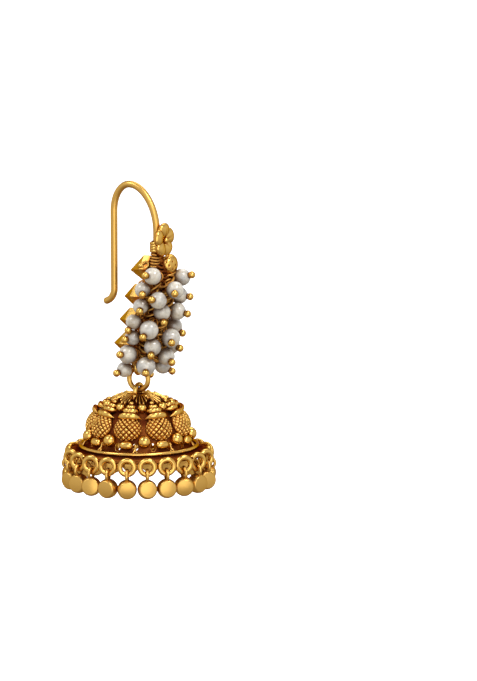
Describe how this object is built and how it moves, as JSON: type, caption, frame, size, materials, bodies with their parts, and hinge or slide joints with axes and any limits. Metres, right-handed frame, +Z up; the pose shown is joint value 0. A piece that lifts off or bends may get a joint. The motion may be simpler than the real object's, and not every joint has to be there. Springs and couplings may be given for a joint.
{
  "type": "drop earring",
  "caption": "Gold drop earring: a tall ear hook, a leaning bunch of drilled pearls on headpins, and a hollow bell of cast relief that swings on a link ring over a fringe of small drops.",
  "frame": {"origin": "inside of the top of the hook's bow, where the earring hangs in the ear", "axes": "+Z up as worn, +X to the front of the earring where the flower faces, +Y to its left; the hook lies in the plane Y = 0"},
  "size_m": [0.024, 0.0238, 0.0474],
  "materials": {
    "gold": "antique gold, polished on the high places and dark red-brown in the recesses",
    "pearl": "satin off-white pearl"
  },
  "bodies": {
    "hanger": {"ear_hook": "gold", "hanger_frame": "gold", "pearl_01": "pearl", "pearl_02": "pearl", "pearl_03": "pearl", "pearl_04": "pearl", "pearl_05": "pearl", "pearl_06": "pearl", "pearl_07": "pearl", "pearl_08": "pearl", "pearl_09": "pearl", "pearl_10": "pearl", "pearl_11": "pearl", "pearl_12": "pearl", "pearl_13": "pearl", "pearl_14": "pearl", "pearl_15": "pearl", "pearl_16": "pearl", "pearl_17": "pearl", "pearl_18": "pearl", "pearl_19": "pearl", "pearl_20": "pearl", "pearl_21": "pearl", "pearl_22": "pearl", "pearl_23": "pearl", "pearl_24": "pearl", "pearl_25": "pearl", "pearl_26": "pearl"},
    "link": {"link_ring": "gold"},
    "bell": {"bell": "gold", "drop_01": "gold", "drop_02": "gold", "drop_03": "gold", "drop_04": "gold", "drop_05": "gold", "drop_06": "gold", "drop_07": "gold", "drop_08": "gold", "drop_09": "gold", "drop_10": "gold", "drop_11": "gold", "drop_12": "gold", "drop_13": "gold", "drop_14": "gold", "drop_15": "gold", "drop_16": "gold", "drop_17": "gold", "drop_18": "gold", "drop_19": "gold", "drop_20": "gold", "drop_21": "gold", "drop_22": "gold"}
  },
  "joints": [
    {"name": "link_swing", "type": "hinge", "parent": "hanger", "child": "link", "pos_m": [0.0016, 0, -0.028], "axis": [1, 0, 0], "range_deg": [-25, 25]},
    {"name": "bell_swing", "type": "hinge", "parent": "link", "child": "bell", "pos_m": [0.0016, 0, -0.03055], "axis": [0, 1, 0], "range_deg": [-25, 25]}
  ]
}
